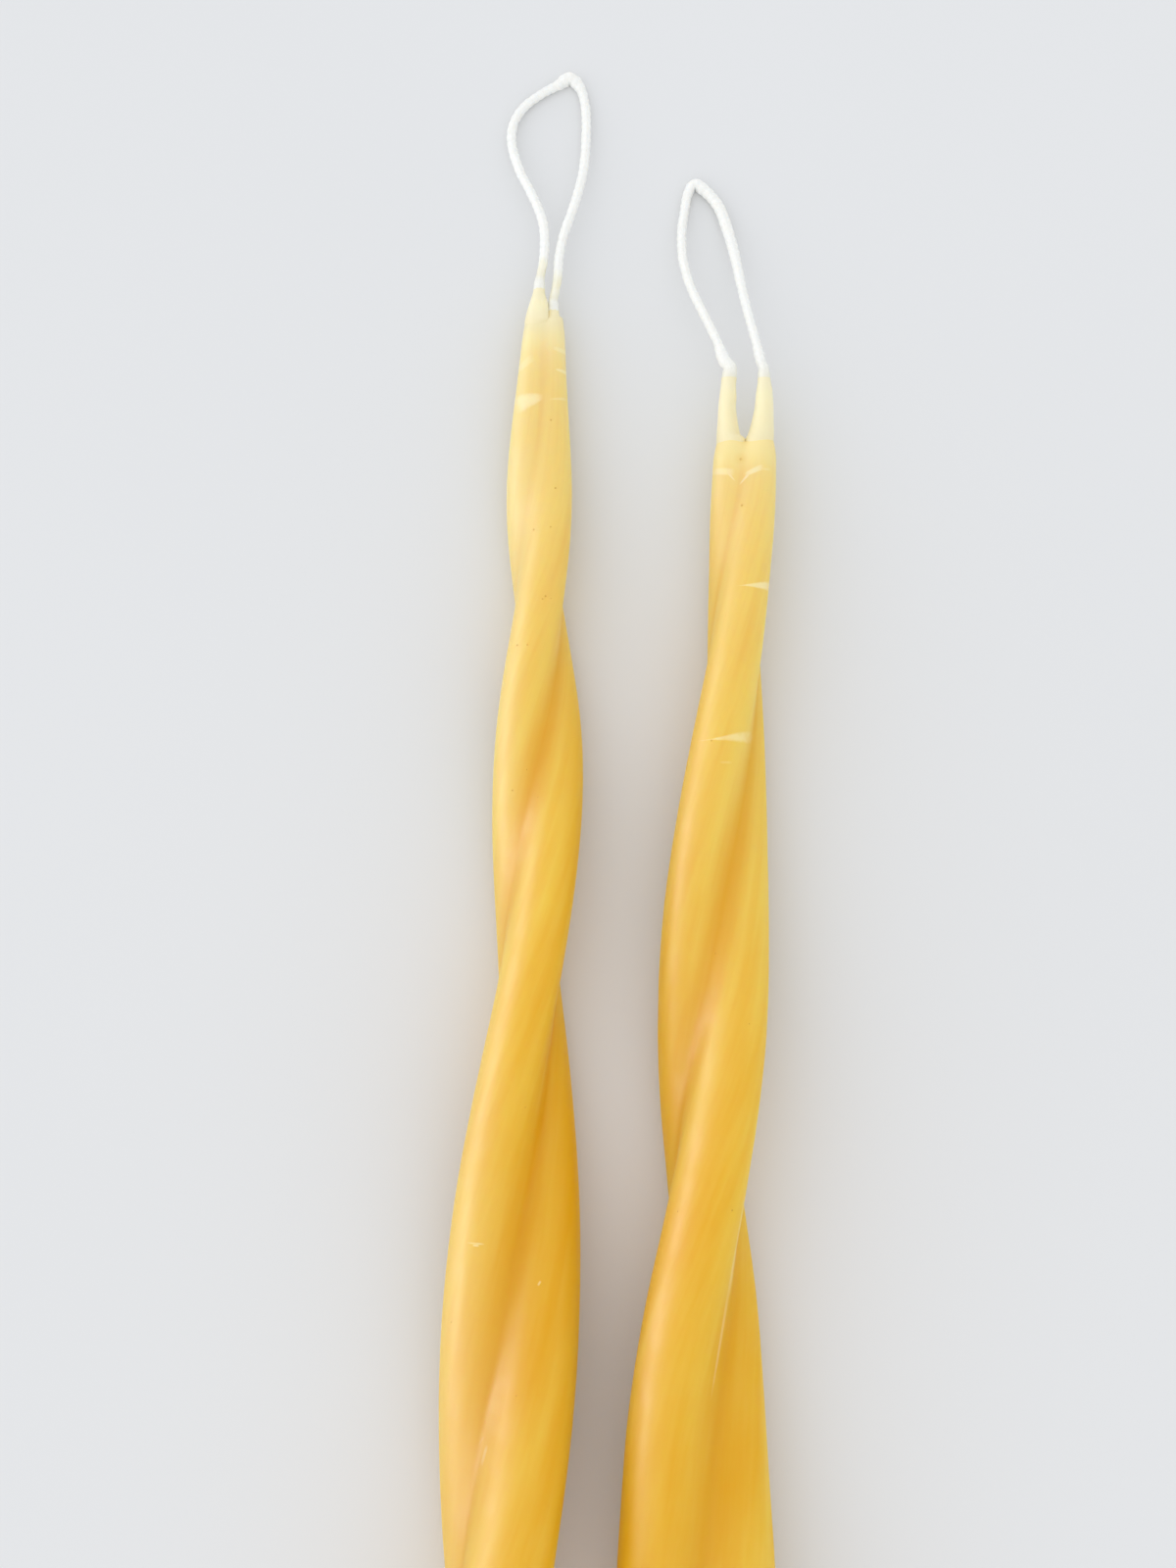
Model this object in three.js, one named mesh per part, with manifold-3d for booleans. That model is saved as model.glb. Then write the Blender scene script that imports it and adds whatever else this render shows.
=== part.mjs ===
// A set of two twin flame candles, lying side by side.
// Each is a pair of dipped tapers on one wick, twisted together while warm and then dipped again.
// The last dips leave one coat round the pair, and the bight of the wick stands out of the two tips.
// Millimetres. +Z is up from the table, +Y points from the cut butts to the tips, +X is to the right.

import * as THREE from 'three';
import Module from 'manifold-3d';

const wasm = await Module();
wasm.setup();

const DEG = Math.PI / 180;

// Sizes that both candles share
const CANDLE_LENGTH = 305;
const WICK_DIAMETER = 1.8;
const WICK_STUB = 1.0;
const COAT_WALL = 0.8;
const RIM_WALL = 0.45;
const RIM_EDGE = 0.6;
const RIM_TAPER = 14;
const FIT_GAP = 0.3;

// How the two lie: the free width between them at the closest place, and how far the right one lies lower
const SET_GAP = 11.05;
const SET_STAGGER = 19.8;

// How finely curves are faceted
const TURN_STEP = 15;
const LONGEST_STEP = 12;
const ARC_STEPS = 10;
const FLAT_STEPS = 3;
const WIDEST_ARC = 165;
const COAT_SIDES = 24;
const BORE_SIDES = 6;
const LOOP_SIDES = 8;
const LOOP_STEP = 4.5;

// Stations are [distance below the higher tip, value]:
//   wax   wall of dipped wax round the wick's bore
//   press spread of the pair as a share of a strand's radius: 1 just touches, less is flattened together
//   turn  degrees that the pair has twisted, right-handed
//   lean  sideways drift of the pair's axis
//   fill  share of the hollow between the strands that the last dips fill, for the side that faces up at
//         the tips and for the side that faces down there
// Loop points are the free wick's route from the higher tip round to the other, measured from the axis
// at the higher tip. The bight sinks to the table as it leaves the tips.
const LEFT = {
  name: 'left',
  tipStep: 4.6,
  rim: 5.6,
  wax: [[0, 0.3], [8, 0.7], [20, 1.3], [40, 2.2], [66, 2.7], [120, 3.5], [200, 5.05], [305, 7]],
  press: [[0, 1], [8, 0.9], [20, 0.75], [66, 0.78], [120, 0.89], [200, 0.99], [305, 0.93]],
  turn: [[0, -5], [25, 1], [42, 24], [66, 86], [105, 190], [146, 270], [190, 338], [230, 387], [305, 480]],
  lean: [[0, 0], [20, -0.75], [40, -1.25], [75, -1.35], [110, -1.7], [150, -3.4], [240, -8.2], [305, -10.7]],
  fill: [
    [[0, 0.75], [30, 0.88], [66, 0.9], [140, 0.6], [165, 0.5], [190, 0.62], [210, 0.8], [250, 0.9], [305, 0.8]],
    [[0, 0.75], [50, 0.75], [66, 0.5], [85, 0.55], [100, 0.8], [115, 0.92], [150, 0.92], [305, 0.7]],
  ],
  loop: [
    [-0.8, 7.1, -0.5], [-0.4, 12.6, -1], [-1, 16.8, -1.5], [-3.3, 22.4, -2.2], [-5.8, 27.5, -2.8],
    [-7.5, 33.8, -3.5], [-7.1, 37.9, -4], [-5.3, 41.2, -4.3], [-1.8, 44.2, -4.5], [2.4, 47, -4.7],
    [4.9, 48.8, -4.75], [7, 46.8, -4.7], [8.3, 42, -4.3], [8.5, 34.6, -3.6], [7.8, 26.8, -2.7],
    [6, 19.8, -1.8], [3.7, 12.9, -1.1], [2.6, 7.6, -0.5], [2.2, 2.6, -0.2],
  ],
};

const RIGHT = {
  name: 'right',
  tipStep: 0,
  rim: 12.4,
  wax: [[0, 0.3], [8, 1.1], [12.4, 1.65], [20, 1.9], [40, 2.5], [66, 3.4], [120, 4.4], [200, 6], [305, 8]],
  press: [[0, 2.4], [8, 1.45], [12.4, 0.99], [20, 0.83], [40, 0.7], [66, 0.75], [120, 0.79], [200, 0.84], [305, 0.82]],
  turn: [[0, 0], [20, 10], [42, 60], [62, 97], [90, 141], [120, 186], [150, 238], [173, 277], [200, 317], [240, 352],
    [305, 420]],
  lean: [[0, 0], [15, -0.4], [35, -1.35], [55, -2.6], [75, -4.15], [105, -6.5], [140, -8], [180, -9.65], [220, -11.4],
    [305, -11.2]],
  fill: [
    [[0, 0.4], [13, 0.55], [20, 0.85], [60, 0.85], [150, 0.75], [170, 0.6], [210, 0.68], [250, 0.75], [305, 0.75]],
    [[0, 0.4], [40, 0.8], [58, 0.7], [80, 0.8], [116, 0.8], [135, 0.62], [160, 0.5], [175, 0.5], [305, 0.7]],
  ],
  loop: [
    [-4.5, 4.6, -0.5], [-6.2, 9.3, -1.2], [-9, 15.5, -2.4], [-11.5, 21.3, -3.7], [-13.1, 27.5, -5],
    [-13.3, 34.2, -6.3], [-12.4, 39.2, -7.1], [-11.4, 42.9, -7.5], [-10, 44.8, -7.65], [-8.3, 43, -7.5],
    [-5.6, 39.7, -7.1], [-3.6, 34.7, -6.4], [-2.2, 29.2, -5.3], [-1.2, 23.8, -4.2], [0.3, 16.4, -2.5],
    [2, 9.4, -1.2], [3.3, 3.9, -0.4],
  ],
};

// Surfaces
const coatWax = new THREE.MeshStandardMaterial({ color: 0xf3c15f, roughness: 0.42, metalness: 0 });
const coreWax = new THREE.MeshStandardMaterial({ color: 0xf8e3ab, roughness: 0.5, metalness: 0 });
const cotton = new THREE.MeshStandardMaterial({ color: 0xf6f3e8, roughness: 0.75, metalness: 0 });

// A smooth curve through stations, going on straight past both ends
function along(stations, t) {
  const last = stations.length - 1;
  const slope = (i, j) => (stations[j][1] - stations[i][1]) / (stations[j][0] - stations[i][0]);
  const tangent = (i) => slope(Math.max(i - 1, 0), Math.min(i + 1, last));
  if (t <= stations[0][0]) return stations[0][1] + tangent(0) * (t - stations[0][0]);
  if (t >= stations[last][0]) return stations[last][1] + tangent(last) * (t - stations[last][0]);
  const i = stations.findIndex((station) => station[0] > t) - 1;
  const span = stations[i + 1][0] - stations[i][0];
  const u = (t - stations[i][0]) / span;
  const rise = u * u * (3 - 2 * u);
  return stations[i][1] * (1 - rise) + stations[i + 1][1] * rise
    + span * u * (1 - u) * ((1 - u) * tangent(i) - u * tangent(i + 1));
}

// Radii, spread and turn of the pair at one distance below the higher tip. Strand 0 has the lower tip.
function sectionAt(candle, t) {
  const bore = WICK_DIAMETER / 2 + FIT_GAP;
  const radii = [t - candle.tipStep, t].map((depth) => bore + along(candle.wax, depth));
  const growth = 1 - Math.exp(-Math.max(t - candle.rim, 0) / RIM_TAPER);
  return {
    t,
    radii,
    spread: FIT_GAP / 2 + along(candle.press, t) * (radii[0] + radii[1]) / 2,
    wall: RIM_WALL + (COAT_WALL - RIM_WALL) * growth,
    turn: along(candle.turn, t) * DEG,
    lean: along(candle.lean, t),
    fill: candle.fill.map((stations) => along(stations, t)),
  };
}

// Distances at which the candle is cut into sections: closer where it twists faster, and at each edge
function stationsOf(candle) {
  const stations = [0, candle.tipStep, candle.rim - RIM_EDGE, candle.rim, candle.rim + RIM_EDGE];
  let t = candle.rim + RIM_EDGE;
  while (t < CANDLE_LENGTH) {
    const rate = Math.abs(along(candle.turn, t + 1) - along(candle.turn, t));
    t += Math.min(LONGEST_STEP, TURN_STEP / rate);
    stations.push(Math.min(t, CANDLE_LENGTH));
  }
  return [...new Set(stations)].sort((a, b) => a - b);
}

// A point measured from a strand's middle: away from the pair's axis, and across that direction
function strandPoint(section, strand, away, across) {
  const turn = section.turn + strand * Math.PI;
  return new THREE.Vector2(section.spread + away, across).rotateAround(new THREE.Vector2(), turn);
}

// Half of the arc that a strand keeps where its neighbour has pressed it flat
function keptArc(section, strand) {
  const reach = (section.spread - FIT_GAP / 2) / section.radii[strand];
  return Math.min(Math.acos(-Math.min(reach, 1)), WIDEST_ARC * DEG);
}

// Outline of a strand: a round back, and a flat where the pair is pressed together. With a clearance it is
// the room that the strand takes in the coat, whose flat runs on into the neighbour's room by an overlap.
function strandRing(section, strand, clearance = 0, overlap = 0) {
  const half = keptArc(section, strand);
  const radius = section.radii[strand] + clearance;
  const ring = [];
  for (let i = 0; i <= ARC_STEPS; i += 1) {
    const angle = half * (2 * i / ARC_STEPS - 1);
    ring.push(strandPoint(section, strand, radius * Math.cos(angle), radius * Math.sin(angle)));
  }
  for (let i = 1; i < FLAT_STEPS; i += 1) {
    const across = radius * Math.sin(half) * (1 - 2 * i / FLAT_STEPS);
    ring.push(strandPoint(section, strand, radius * Math.cos(half) - overlap, across));
  }
  return ring;
}

// A round outline about a strand's middle, for the wick and its bore
function wickRing(section, strand, radius) {
  return Array.from({ length: BORE_SIDES }, (_, i) => {
    const angle = 2 * Math.PI * i / BORE_SIDES;
    return strandPoint(section, strand, radius * Math.cos(angle), radius * Math.sin(angle));
  });
}

// Outline of the coat: two circles about the strands, and wax that fills a share of the hollow between them
function coatRing(section, wall) {
  const centre = new THREE.Vector2();
  const [low, high] = section.radii.map((radius) => radius + FIT_GAP + wall);
  const mean = (low + high) / 2;
  const hollow = mean - Math.sqrt(Math.max(mean ** 2 - section.spread ** 2, 0));
  return Array.from({ length: COAT_SIDES }, (_, i) => {
    const angle = 2 * Math.PI * i / COAT_SIDES;
    const shift = section.spread * Math.cos(angle);
    const off = (section.spread * Math.sin(angle)) ** 2;
    const near = shift + Math.sqrt(Math.max(low * low - off, 0));
    const far = -shift + Math.sqrt(Math.max(high * high - off, 0));
    const blend = 4 * section.fill[Math.sin(angle) > 0 ? 0 : 1] * hollow;
    const filled = Math.max(1 - Math.abs(near - far) / blend, 0);
    const reach = Math.max(near, far) + filled ** 2 * blend / 4;
    return new THREE.Vector2(reach, 0).rotateAround(centre, section.turn + angle);
  });
}

// Height of the straight axis when the candle lies with its centre of gravity as low as it goes
function restingLine(sections) {
  const lowest = sections.map((section) => ({
    t: section.t,
    drop: -Math.min(...coatRing(section, section.wall).map((point) => point.y)),
    weight: section.radii[0] ** 2 + section.radii[1] ** 2,
  }));
  let weight = 0;
  let moment = 0;
  for (let i = 1; i < lowest.length; i += 1) {
    const part = lowest[i].weight * (lowest[i].t - lowest[i - 1].t);
    weight += part;
    moment += part * lowest[i].t;
  }
  const balance = moment / weight;
  let rest = { level: 0 };
  for (const upper of lowest.filter((place) => place.t < balance)) {
    for (const lower of lowest.filter((place) => place.t >= balance)) {
      const slope = (lower.drop - upper.drop) / (lower.t - upper.t);
      const level = upper.drop + slope * (balance - upper.t);
      if (level > rest.level) rest = { level, slope };
    }
  }
  return (t) => rest.level + rest.slope * (t - balance);
}

// Lifts a flat outline to its place on the candle
function placed(candle, section, ring) {
  const height = candle.axisHeight(section.t);
  return ring.map((point) => new THREE.Vector3(section.lean + point.x, -section.t, height + point.y));
}

// A closed solid through rings of equal count, each end fanned from its middle. A skin's faces are split
// along the twist and stand proud; the others are split against it and stay inside the true surface.
function loft(rings, isSkin = false) {
  const sides = rings[0].length;
  const points = rings.flat();
  const faces = [];
  for (let i = 0; i + 1 < rings.length; i += 1) {
    for (let j = 0; j < sides; j += 1) {
      const here = i * sides + j;
      const next = i * sides + (j + 1) % sides;
      if (isSkin) faces.push(here, next, here + sides, next, next + sides, here + sides);
      else faces.push(here, next, next + sides, here, next + sides, here + sides);
    }
  }
  const lastRing = (rings.length - 1) * sides;
  for (const [first, flip] of [[0, true], [lastRing, false]]) {
    const middle = new THREE.Vector3();
    for (let j = 0; j < sides; j += 1) middle.addScaledVector(points[first + j], 1 / sides);
    points.push(middle);
    for (let j = 0; j < sides; j += 1) {
      const pair = [first + j, first + (j + 1) % sides];
      if (flip) pair.reverse();
      faces.push(points.length - 1, ...pair);
    }
  }
  const vertProperties = new Float32Array(points.flatMap((point) => point.toArray()));
  return new wasm.Manifold(new wasm.Mesh({ numProp: 3, vertProperties, triVerts: new Uint32Array(faces) }));
}

function toMesh(solid, name, material) {
  const { vertProperties, triVerts } = solid.getMesh();
  const geometry = new THREE.BufferGeometry();
  geometry.setAttribute('position', new THREE.BufferAttribute(vertProperties, 3));
  geometry.setIndex(new THREE.BufferAttribute(triVerts, 1));
  geometry.computeVertexNormals();
  return named(new THREE.Mesh(geometry, material), name);
}

function named(mesh, name) {
  mesh.name = name;
  return mesh;
}

// Sections between two distances, with one at each end
function sectionsBetween(candle, from, to) {
  const inside = candle.stations.filter((t) => t > from && t < to);
  return [from, ...inside, to].map((t) => sectionAt(candle, t));
}

// One of the two first-dipped tapers, bored for its leg of the wick
function taperCore(candle, strand) {
  const top = strand === 0 ? candle.tipStep : 0;
  const body = sectionsBetween(candle, top, CANDLE_LENGTH);
  const bore = sectionsBetween(candle, top - FIT_GAP, CANDLE_LENGTH + FIT_GAP);
  const boreRadius = WICK_DIAMETER / 2 + FIT_GAP;
  const wax = loft(body.map((section) => placed(candle, section, strandRing(section, strand))));
  return wax.subtract(loft(bore.map((section) => placed(candle, section, wickRing(section, strand, boreRadius)))));
}

// The leg of the wick inside a taper, from its stub above the tip to the butt
function wickLeg(candle, strand) {
  const top = (strand === 0 ? candle.tipStep : 0) - WICK_STUB;
  const sections = sectionsBetween(candle, top, CANDLE_LENGTH);
  return loft(sections.map((section) => placed(candle, section, wickRing(section, strand, WICK_DIAMETER / 2))));
}

// The coat of the last dips: an outline round both strands, less the room that each strand takes
function overdipCoat(candle) {
  const skin = sectionsBetween(candle, candle.rim, CANDLE_LENGTH).map((section) => {
    const wall = section.t === candle.rim ? section.wall / 2 : section.wall;
    return placed(candle, section, coatRing(section, wall));
  });
  const inner = sectionsBetween(candle, candle.rim - RIM_EDGE, CANDLE_LENGTH + RIM_EDGE);
  const room = (strand) => loft(inner.map((section) => (
    placed(candle, section, strandRing(section, strand, FIT_GAP, section.radii[strand] / 3))
  )));
  return loft(skin, true).subtract(room(0)).subtract(room(1));
}

// The free bight of the wick, which leaves each stub along the stub's own direction
function wickLoop(candle) {
  const ends = [1, 0].map((strand) => {
    const top = (strand === 0 ? candle.tipStep : 0) - WICK_STUB;
    const [tip, below] = [top, top + WICK_DIAMETER].map((t) => {
      const section = sectionAt(candle, t);
      return placed(candle, section, [strandPoint(section, strand, 0, 0)])[0];
    });
    const outward = tip.clone().sub(below).normalize();
    return [FIT_GAP, FIT_GAP + WICK_DIAMETER].map((reach) => tip.clone().addScaledVector(outward, reach));
  });
  const tipHeight = candle.axisHeight(0);
  const free = candle.loop.map(([x, y, z]) => new THREE.Vector3(x, y, tipHeight + z));
  const route = new THREE.CatmullRomCurve3([...ends[0], ...free, ...ends[1].reverse()]);
  const section = new THREE.Shape(Array.from({ length: LOOP_SIDES }, (_, i) => {
    const angle = 2 * Math.PI * i / LOOP_SIDES;
    return new THREE.Vector2(Math.cos(angle), Math.sin(angle)).multiplyScalar(WICK_DIAMETER / 2);
  }));
  const steps = Math.ceil(route.getLength() / LOOP_STEP);
  const geometry = new THREE.ExtrudeGeometry(section, { extrudePath: route, steps });
  return named(new THREE.Mesh(geometry, cotton), `${candle.name}_wick_loop`);
}

function makeCandle(shape) {
  const candle = { ...shape, stations: stationsOf(shape) };
  candle.axisHeight = restingLine(sectionsBetween(candle, candle.rim, CANDLE_LENGTH));
  const group = new THREE.Group();
  group.add(wickLoop(candle));
  ['a', 'b'].forEach((letter, strand) => {
    group.add(toMesh(wickLeg(candle, strand), `${candle.name}_wick_leg_${letter}`, cotton));
    group.add(toMesh(taperCore(candle, strand), `${candle.name}_taper_core_${letter}`, coreWax));
  });
  group.add(toMesh(overdipCoat(candle), `${candle.name}_overdip_coat`, coatWax));
  return group;
}

// The farthest that a candle reaches to one side at a distance below its own tip: side 1 is right, -1 left
function reachAt(candle, t, side) {
  const section = sectionAt(candle, Math.max(t, candle.rim));
  return section.lean * side + Math.max(...coatRing(section, section.wall).map((point) => point.x * side));
}

// Distance between the two axes' tips that leaves the free width at the closest place
function spacing() {
  let widest = 0;
  for (let t = 0; t <= CANDLE_LENGTH; t += WICK_DIAMETER) {
    widest = Math.max(widest, reachAt(LEFT, t + SET_STAGGER, 1) + reachAt(RIGHT, t, -1));
  }
  return widest + SET_GAP;
}

const set = new THREE.Group();
const leftCandle = makeCandle(LEFT);
const rightCandle = makeCandle(RIGHT);
rightCandle.position.set(spacing(), -SET_STAGGER, 0);
set.add(leftCandle, rightCandle);

// The origin is on the table, in the middle of the wax
set.updateMatrixWorld(true);
const wax = new THREE.Box3();
set.traverse((piece) => {
  if (piece.isMesh && !piece.name.endsWith('loop')) wax.expandByObject(piece);
});
const middle = wax.getCenter(new THREE.Vector3());
set.position.set(-middle.x, -middle.y, -wax.min.z);

export default set;
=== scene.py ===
import math

import bpy
import numpy as np
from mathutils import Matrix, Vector


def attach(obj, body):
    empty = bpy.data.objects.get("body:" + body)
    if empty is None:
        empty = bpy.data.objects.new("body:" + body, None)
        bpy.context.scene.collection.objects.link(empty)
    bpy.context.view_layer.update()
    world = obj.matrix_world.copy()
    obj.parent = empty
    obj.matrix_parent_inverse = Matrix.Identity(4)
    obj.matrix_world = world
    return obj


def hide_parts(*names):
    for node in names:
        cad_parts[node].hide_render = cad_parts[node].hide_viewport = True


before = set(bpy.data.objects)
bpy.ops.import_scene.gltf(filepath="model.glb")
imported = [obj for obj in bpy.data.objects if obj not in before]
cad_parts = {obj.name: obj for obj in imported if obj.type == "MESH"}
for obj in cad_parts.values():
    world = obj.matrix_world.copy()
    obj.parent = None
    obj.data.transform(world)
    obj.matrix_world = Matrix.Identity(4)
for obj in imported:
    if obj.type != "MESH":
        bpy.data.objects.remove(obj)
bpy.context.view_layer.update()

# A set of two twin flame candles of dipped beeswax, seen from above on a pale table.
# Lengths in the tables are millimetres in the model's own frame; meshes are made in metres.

MM = 0.001
LENGTH = 305.0
WICK_RADIUS = 0.9
BORE_RADIUS = 1.2
FIT_GAP = 0.3
WICK_STUB = 1.0
WICK_INSIDE = 2.0  # length of free wick that runs on below a stub's end
COAT_WALL = 0.8
RIM_WALL = 0.45
RIM_TAPER = 14.0
RIM_SUNK = 0.12  # how far the coat starts inside the prongs
BUTT_STEP = 0.06  # how far the coat ends short of the tapers' cut faces
LEAD_POINTS = 3  # points of a wick's route before those of its loop

# The candles. Stations are [distance below the higher tip, value].
# These follow the part's source:
#   tip       place of the higher tip on the table
#   rise      height of the pair's axis at the tip and at the butt
#   tip_step  how much lower tip a sits than tip b
#   rim       where the coat begins
#   wax       wall of dipped wax round the wick's bore
#   press     how far each strand's middle lies from the pair's axis, as a share of its radius
#   turn      degrees that strand a has turned from the right towards the top
#   lean      how far the pair's axis lies to the right of the tip
#   crease    share of the hollow between the strands that wax fills, on one side and on the other
#   loop      route of the free wick, measured from the tip
# These are finer than the source. Lumps, film, prong and inner have strand a first and then strand b.
#   edge, lip, notch  length over which the coat reaches its full wall, how gently it starts,
#                     and how much lower its rim sits in the fork
#   seed              start of the random waves
#   warmth            where the painted shade in the folds, on the lower strand and towards the other candle
#                     begins to deepen, and where it is at its deepest
#   gap, outer        side on which the other candle lies, 1 right and -1 left, which gets painted shade, and how
#                     much paler the far side is made by a painted sheen
#   kink, bulge       point of the loop where the wick kinks, how much fuller it is there, over what length
#   thick, lumps      how much fuller the wick is all along and past the kink, and just above each tip
#   film, frost       length of wick that is waxed above each tip, and how white its end is rubbed
#   prong             how much fuller each prong is at the rim
#   join, inner       from where to where the prongs face each other, and how much fuller they are there,
#                     at its top and at its bottom
#   seam              how far the flats between the two strands lie to strand a's side
#   bridge            share of the crease's wax that is already there at the rim
#   skin_tint, core_tint  colour of the coat and of the tapers, from cream at 0 to honey at 1
LEFT = {
    "name": "left", "tip": (-12.394, 161.9), "rise": (5.65, 17.145), "tip_step": 4.6, "rim": 5.6,
    "edge": 4.5, "lip": 1.0, "notch": 0.3, "seed": 3, "warmth": (30.0, 110.0), "gap": 1, "outer": 0.15,
    "wax": [[0, 0.3], [8, 0.7], [20, 1.3], [40, 2.2], [66, 2.7], [120, 3.5], [200, 5.05], [305, 7]],
    "press": [[0, 1], [8, 0.9], [20, 0.75], [66, 0.78], [120, 0.89], [200, 0.99], [305, 0.93]],
    "turn": [[0, -5], [25, 1], [42, 24], [66, 86], [105, 190], [146, 270], [190, 338], [230, 387],
             [305, 480]],
    "lean": [[0, 0], [20, -0.75], [40, -1.25], [75, -1.35], [110, -1.7], [150, -3.4], [240, -8.2],
             [305, -10.7]],
    "crease": [
        [[0, 0.88], [30, 0.93], [66, 0.92], [140, 0.7], [165, 0.62], [190, 0.7], [210, 0.82], [250, 0.9],
         [305, 0.8]],
        [[0, 0.88], [50, 0.82], [66, 0.68], [85, 0.76], [100, 0.88], [115, 0.94], [150, 0.92], [305, 0.7]],
    ],
    "loop": [
        [-0.6, 7.1, -0.5], [-0.35, 12.6, -1], [-1, 16.8, -1.5], [-3.3, 22.4, -2.2], [-5.8, 27.5, -2.8],
        [-7.5, 33.8, -3.5], [-7.1, 37.9, -4], [-5.3, 41.2, -4.3], [-1.8, 44.2, -4.5], [2.4, 46.6, -4.7],
        [5.0, 48.0, -4.75], [7.1, 46.2, -4.7], [8.3, 42, -4.3], [8.5, 34.6, -3.6], [7.8, 26.8, -2.7],
        [6, 19.8, -1.8], [3.7, 12.9, -1.1], [2.7, 7.6, -0.5], [2.35, 2.6, -0.2],
    ],
    "kink": 10, "bulge": (0.5, 3.0), "thick": (0.02, 0.0), "lumps": (0.0, 0.0),
    "film": (10.0, 8.5), "frost": 0.85,
    "prong": (0.6, 0.75), "join": (0.0, 7.2), "inner": ((0.0, 0.25), (0.35, 0.6)),
    "seam": [[0, 0.05], [1, 0.2], [3, 0.5], [6, 0.62], [8, 0.3], [10, 0], [305, 0]], "bridge": 0.85,
    "skin_tint": [[5, 0.11], [9, 0.27], [14, 0.5], [22, 0.64], [40, 0.72], [75, 0.86], [120, 0.98], [305, 1]],
    "core_tint": [[0, -0.1], [5.6, 0.12], [12, 0.5], [30, 1], [305, 1]],
}
RIGHT = {
    "name": "right", "tip": (29.905, 142.1), "rise": (8.72, 16.94), "tip_step": 0.0, "rim": 12.4,
    "edge": 5.0, "lip": 1.1, "notch": 0.2, "seed": 11, "warmth": (14.0, 70.0), "gap": -1, "outer": 0.0,
    "wax": [[0, 0.3], [8, 1.1], [12.4, 1.65], [20, 1.9], [40, 2.5], [66, 3.4], [120, 4.4], [200, 6],
            [305, 8]],
    "press": [[0, 2.4], [8, 1.45], [12.4, 0.99], [20, 0.83], [40, 0.7], [66, 0.75], [120, 0.79], [200, 0.84],
              [305, 0.82]],
    "turn": [[0, 0], [20, 10], [42, 60], [62, 97], [90, 141], [120, 186], [150, 238], [173, 277], [200, 317],
             [240, 352], [305, 420]],
    "lean": [[0, 0], [15, -0.4], [35, -1.35], [55, -2.6], [75, -4.15], [105, -6.5], [140, -8], [180, -9.65],
             [220, -11.4], [305, -11.2]],
    "crease": [
        [[0, 0.4], [13, 0.55], [20, 0.85], [60, 0.85], [150, 0.75], [170, 0.6], [210, 0.68], [250, 0.75],
         [305, 0.75]],
        [[0, 0.4], [40, 0.8], [58, 0.7], [80, 0.8], [116, 0.8], [135, 0.62], [160, 0.5], [175, 0.5],
         [305, 0.7]],
    ],
    "loop": [
        [-4.5, 4.6, -0.5], [-6.2, 9.3, -1.2], [-9, 15.5, -2.4], [-11.5, 21.3, -3.7], [-13.1, 27.5, -5],
        [-13.3, 34.2, -6.3], [-12.6, 39.2, -7.1], [-11.9, 42.7, -7.5], [-10.5, 44.6, -7.65],
        [-8.1, 43.1, -7.5], [-5.4, 39.7, -7.1], [-3.6, 34.7, -6.4], [-2.2, 29.2, -5.3], [-1.2, 23.8, -4.2],
        [0.3, 16.4, -2.5], [2, 9.4, -1.2], [3.3, 3.9, -0.4],
    ],
    "kink": 8, "bulge": (0.2, 2.5), "thick": (0.05, 0.28), "lumps": (0.12, 0.42),
    "film": (3.4, 3.4), "frost": 0.0,
    "prong": (0.15, 0.2), "join": (2.5, 12.2), "inner": ((-0.15, -0.3), (-0.4, -0.95)),
    "seam": [[0, 0], [305, 0]], "bridge": 0.35,
    "skin_tint": [[12, 0.42], [20, 0.62], [35, 0.78], [60, 0.87], [90, 0.92], [130, 0.965], [170, 1],
                  [305, 1]],
    "core_tint": [[0, 0], [8, 0.06], [12.4, 0.14], [30, 1], [305, 1]],
}


# Curves through stations

def along(stations, t):
    """A smooth curve through stations, going on straight past both ends."""
    x, v = np.array(stations, float).T
    last = len(x) - 1
    order = np.arange(last + 1)
    before, after = np.maximum(order - 1, 0), np.minimum(order + 1, last)
    tangent = (v[after] - v[before]) / (x[after] - x[before])
    t = np.asarray(t, float)
    i = np.clip(np.searchsorted(x, t, side="right") - 1, 0, last - 1)
    span = x[i + 1] - x[i]
    u = (t - x[i]) / span
    rise = u * u * (3 - 2 * u)
    curve = v[i] * (1 - rise) + v[i + 1] * rise
    curve += span * u * (1 - u) * ((1 - u) * tangent[i] - u * tangent[i + 1])
    curve = np.where(t <= x[0], v[0] + tangent[0] * (t - x[0]), curve)
    return np.where(t >= x[last], v[last] + tangent[last] * (t - x[last]), curve)


def tip_depth(candle, strand):
    return candle["tip_step"] if strand == 0 else 0.0


def strand_radius(candle, strand, t):
    return BORE_RADIUS + along(candle["wax"], t - tip_depth(candle, strand))


def spread(candle, t):
    mean = (strand_radius(candle, 0, t) + strand_radius(candle, 1, t)) / 2
    return FIT_GAP / 2 + along(candle["press"], t) * mean


def on_candle(candle, t, away, up):
    """The place of a point measured from the pair's axis, to its right and upwards."""
    height = candle["rise"][0] + (candle["rise"][1] - candle["rise"][0]) * t / LENGTH
    x = candle["tip"][0] + along(candle["lean"], t) + away
    y = candle["tip"][1] - t
    return np.stack(np.broadcast_arrays(x, y, height + up), axis=-1)


def strand_point(candle, strand, t, away, across):
    """The place of a point measured from a strand's middle: away from the axis, and across that direction."""
    turn = np.radians(along(candle["turn"], t)) + strand * math.pi
    out = spread(candle, t) + away
    right = out * np.cos(turn) - across * np.sin(turn)
    return on_candle(candle, t, right, out * np.sin(turn) + across * np.cos(turn))


def ease(low, high, t):
    u = np.clip((t - low) / (high - low), 0, 1)
    return u * u * (3 - 2 * u)


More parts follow.
